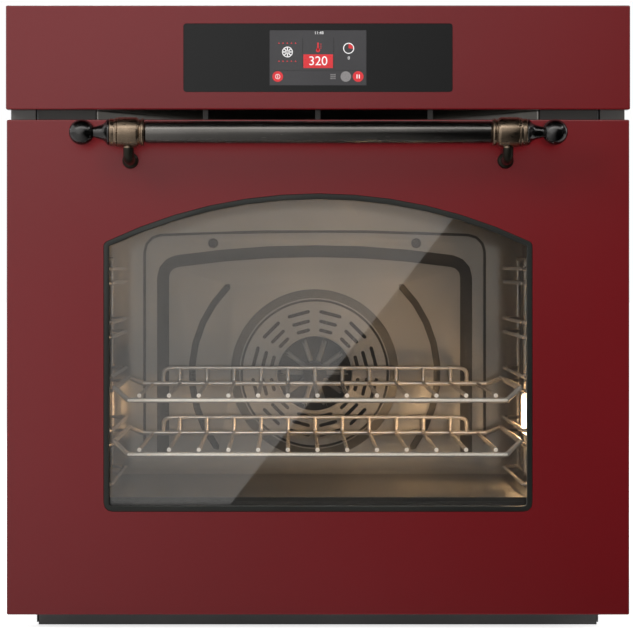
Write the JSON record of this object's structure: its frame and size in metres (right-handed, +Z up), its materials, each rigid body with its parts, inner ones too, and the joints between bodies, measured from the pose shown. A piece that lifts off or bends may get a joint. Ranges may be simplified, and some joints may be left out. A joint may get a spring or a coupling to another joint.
{
  "type": "built-in oven",
  "caption": "Built-in electric oven with a drop-down arched-window door, round handle, touch display, wire shelves on ladders, convection fan and cooling blower.",
  "frame": {"origin": "centre of the casing's underside", "axes": "+X to the right seen from the front, +Y to the back, +Z up; the door faces -Y"},
  "size_m": [0.595, 0.621, 0.594],
  "materials": {
    "base_plate": "galvanised sheet",
    "bottom_trim": "satin",
    "side_panel_right": "galvanised sheet",
    "side_panel_left": "galvanised sheet",
    "top_panel": "galvanised sheet",
    "back_panel": "galvanised sheet",
    "front_frame": "satin",
    "panel_bracket": "galvanised sheet",
    "control_panel": "satin",
    "display_glass": "gloss",
    "touch_screen": "gloss",
    "display_carrier": "matt",
    "control_board": "printed circuit board",
    "vent_outlet": "matt",
    "duct_floor": "galvanised sheet",
    "duct_cover": "galvanised sheet",
    "blower_housing": "galvanised sheet",
    "blower_wheel": "galvanised sheet",
    "blower_motor": "satin",
    "power_board": "printed circuit board",
    "terminal_box": "matt",
    "cavity_shell": "gloss enamel",
    "cavity_back": "gloss enamel",
    "door_seal": "matt",
    "insulation": "mineral wool",
    "steam_outlet": "galvanised sheet",
    "fan_well": "gloss enamel",
    "ring_element": "oxidised steel tube",
    "fan_cover": "gloss enamel",
    "fan_impeller": "galvanised sheet",
    "fan_shaft": "galvanised sheet",
    "fan_nut": "antique, satin",
    "fan_motor": "satin",
    "grill_element": "oxidised steel tube",
    "bottom_element": "oxidised steel tube",
    "temperature_sensor": "galvanised sheet",
    "lamp_cover": "clear",
    "lamp_holder": "galvanised sheet",
    "ladder_right": "bright",
    "ladder_left": "bright",
    "shelf_upper": "bright",
    "shelf_lower": "bright",
    "door_panel": "satin",
    "window_trim": "dark polished",
    "outer_glass": "clear",
    "middle_glass": "clear",
    "inner_glass": "clear",
    "pane_holder_right": "matt",
    "pane_holder_left": "matt",
    "door_frame": "galvanised sheet",
    "door_bottom_profile": "galvanised sheet",
    "hinge_arm_right": "galvanised sheet",
    "hinge_arm_left": "galvanised sheet",
    "hinge_hook_right": "galvanised sheet",
    "hinge_hook_left": "galvanised sheet",
    "handle_bar": "dark polished",
    "handle_bracket_right": "antique, satin",
    "handle_bracket_left": "antique, satin",
    "handle_finial_right": "dark polished",
    "handle_finial_left": "dark polished"
  },
  "bodies": {
    "chassis": {"base_plate": "base_plate", "bottom_trim": "bottom_trim", "side_panel_right": "side_panel_right", "side_panel_left": "side_panel_left", "top_panel": "top_panel", "back_panel": "back_panel", "front_frame": "front_frame", "panel_bracket": "panel_bracket", "control_panel": "control_panel", "display_glass": "display_glass", "touch_screen": "touch_screen", "display_carrier": "display_carrier", "control_board": "control_board", "vent_outlet": "vent_outlet", "duct_floor": "duct_floor", "duct_cover": "duct_cover", "blower_housing": "blower_housing", "blower_motor": "blower_motor", "power_board": "power_board", "terminal_box": "terminal_box", "cavity_shell": "cavity_shell", "cavity_back": "cavity_back", "door_seal": "door_seal", "insulation": "insulation", "steam_outlet": "steam_outlet", "fan_well": "fan_well", "ring_element": "ring_element", "fan_cover": "fan_cover", "fan_motor": "fan_motor", "grill_element": "grill_element", "bottom_element": "bottom_element", "temperature_sensor": "temperature_sensor", "lamp_cover": "lamp_cover", "lamp_holder": "lamp_holder", "ladder_right": "ladder_right", "ladder_left": "ladder_left", "hinge_hook_right": "hinge_hook_right", "hinge_hook_left": "hinge_hook_left"},
    "door": {"door_panel": "door_panel", "window_trim": "window_trim", "outer_glass": "outer_glass", "middle_glass": "middle_glass", "inner_glass": "inner_glass", "pane_holder_right": "pane_holder_right", "pane_holder_left": "pane_holder_left", "door_frame": "door_frame", "door_bottom_profile": "door_bottom_profile", "hinge_arm_right": "hinge_arm_right", "hinge_arm_left": "hinge_arm_left", "handle_bar": "handle_bar", "handle_bracket_right": "handle_bracket_right", "handle_bracket_left": "handle_bracket_left", "handle_finial_right": "handle_finial_right", "handle_finial_left": "handle_finial_left"},
    "upper_shelf": {"shelf_upper": "shelf_upper"},
    "lower_shelf": {"shelf_lower": "shelf_lower"},
    "convection_fan": {"fan_impeller": "fan_impeller", "fan_shaft": "fan_shaft", "fan_nut": "fan_nut"},
    "cooling_blower": {"blower_wheel": "blower_wheel"}
  },
  "joints": [
    {"name": "door_hinge", "type": "hinge", "parent": "chassis", "child": "door", "pos_m": [0, -0.268, 0.0285], "axis": [1, 0, 0], "range_deg": [0, 90], "stiffness_Nm_per_rad": 16, "springref_deg": -14.32},
    {"name": "upper_shelf_slide", "type": "slide", "parent": "chassis", "child": "upper_shelf", "axis": [0, -1, 0], "range_m": [0, 0.29]},
    {"name": "lower_shelf_slide", "type": "slide", "parent": "chassis", "child": "lower_shelf", "axis": [0, -1, 0], "range_m": [0, 0.2]},
    {"name": "convection_fan_spin", "type": "hinge", "parent": "chassis", "child": "convection_fan", "pos_m": [0, 0.19, 0.2297], "axis": [0, 1, 0], "continuous": true},
    {"name": "cooling_blower_spin", "type": "hinge", "parent": "chassis", "child": "cooling_blower", "pos_m": [0, 0.07, 0.533], "axis": [1, 0, 0], "continuous": true}
  ],
  "couplings": [
    {"joint": "upper_shelf_slide", "follows": "door_hinge", "m_per_rad": 0.184},
    {"joint": "lower_shelf_slide", "follows": "door_hinge", "m_per_rad": 0.127}
  ]
}
